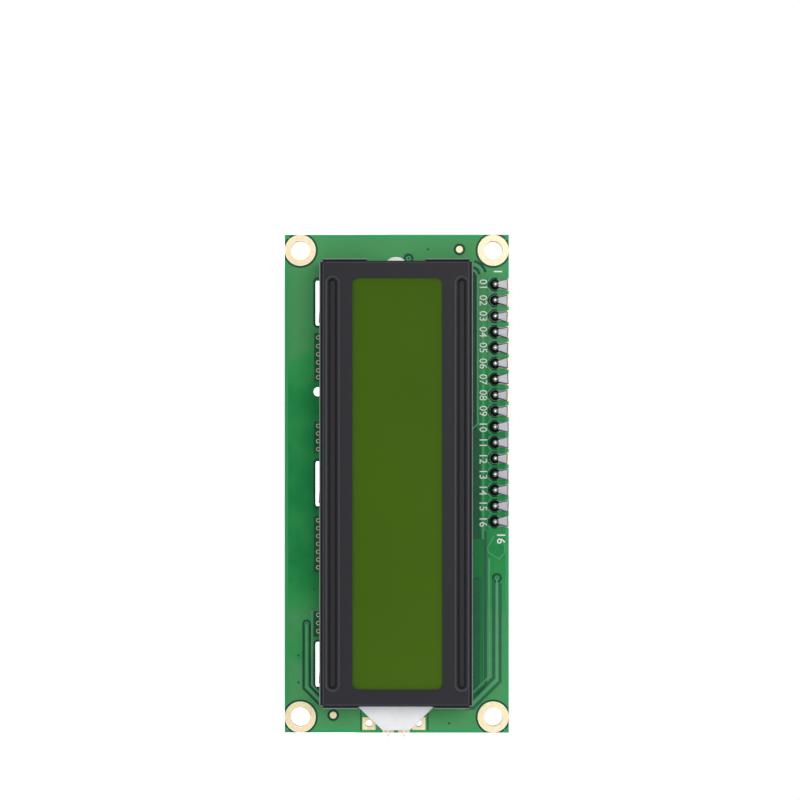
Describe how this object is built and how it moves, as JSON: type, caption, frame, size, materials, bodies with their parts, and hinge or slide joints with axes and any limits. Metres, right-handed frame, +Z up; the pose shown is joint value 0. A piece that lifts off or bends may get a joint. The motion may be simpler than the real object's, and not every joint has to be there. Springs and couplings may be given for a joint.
{
  "type": "character display module",
  "caption": "Framed two-line liquid crystal display on a drilled green board, with a small black serial adapter board, trimmer and jumper soldered behind it.",
  "frame": {"origin": "centre of the four mounting holes, on the front face of the green display board", "axes": "-Y points out of the display towards the reader, +Z is up the lettering, towards the pin row, and +X is to the reader's right along the display"},
  "size_m": [0.0807, 0.0181, 0.036],
  "materials": {
    "green_solder_mask": "satin green solder mask over laminate",
    "gold_pads": "matt immersion gold over copper",
    "black_steel": "satin black coated sheet steel",
    "polariser_film": "smooth polarising film, yellow-green with the light off",
    "display_glass": "clear float glass",
    "diffuser_film": "matt white film",
    "silicone_strip": "layered conductive silicone",
    "acrylic_guide": "clear moulded acrylic with a printed dot pattern",
    "white_plastic": "white moulded plastic",
    "lamp_epoxy": "clear tinted epoxy",
    "tinned_pin": "tin plated brass",
    "solder": "bright tin solder",
    "black_epoxy": "smooth black glob-top epoxy",
    "black_plastic": "matt black moulded nylon",
    "black_mould": "matt black moulding compound",
    "black_solder_mask": "satin black solder mask over laminate",
    "blue_plastic": "blue moulded plastic",
    "rotor_plastic": "pale moulded plastic",
    "resistor_glaze": "black glaze over ceramic",
    "capacitor_ceramic": "tan ceramic",
    "led_base": "white laminate",
    "led_lens": "clear epoxy"
  },
  "bodies": {
    "module": {"lcd_board": "green_solder_mask", "lcd_board_pads": "gold_pads", "bezel": "black_steel", "front_polariser": "polariser_film", "upper_glass": "display_glass", "lower_glass": "display_glass", "rear_polariser": "polariser_film", "diffuser_film": "diffuser_film", "contact_strip_upper": "silicone_strip", "contact_strip_lower": "silicone_strip", "light_guide": "acrylic_guide", "backlight_tray": "white_plastic", "backlight_lamp": "lamp_epoxy", "backlight_legs": "tinned_pin", "backlight_solder": "solder", "driver_blob_left": "black_epoxy", "driver_blob_right": "black_epoxy", "board_resistors": "resistor_glaze", "board_resistor_ends": "solder", "link_solder": "solder", "header_spacer": "black_plastic", "header_pins": "tinned_pin", "header_solder_front": "solder", "header_solder_rear": "solder", "adapter_board": "black_solder_mask", "adapter_pads": "gold_pads", "expander_chip": "black_mould", "expander_leads": "tinned_pin", "trimmer_body": "blue_plastic", "trimmer_legs": "tinned_pin", "serial_header_block": "black_plastic", "serial_header_pins": "tinned_pin", "jumper_header_block": "black_plastic", "jumper_header_pins": "tinned_pin", "underside_solder": "solder", "power_led_base": "led_base", "power_led_lens": "led_lens", "power_led_ends": "solder", "adapter_resistors": "resistor_glaze", "adapter_resistor_ends": "solder", "adapter_capacitor": "capacitor_ceramic", "adapter_capacitor_ends": "solder", "transistor_body": "black_mould", "transistor_leads": "tinned_pin"},
    "rotor": {"trimmer_rotor": "rotor_plastic"},
    "jumper": {"jumper_cap": "black_plastic", "jumper_contact": "tinned_pin"}
  },
  "joints": [
    {"name": "trimmer_turn", "type": "hinge", "parent": "module", "child": "rotor", "pos_m": [-0.0245, 0.0091, 0.00935], "axis": [0, 1, 0], "range_deg": [-120, 120]},
    {"name": "jumper_pull", "type": "slide", "parent": "module", "child": "jumper", "axis": [1, 0, 0], "range_m": [0, 0.006]}
  ]
}
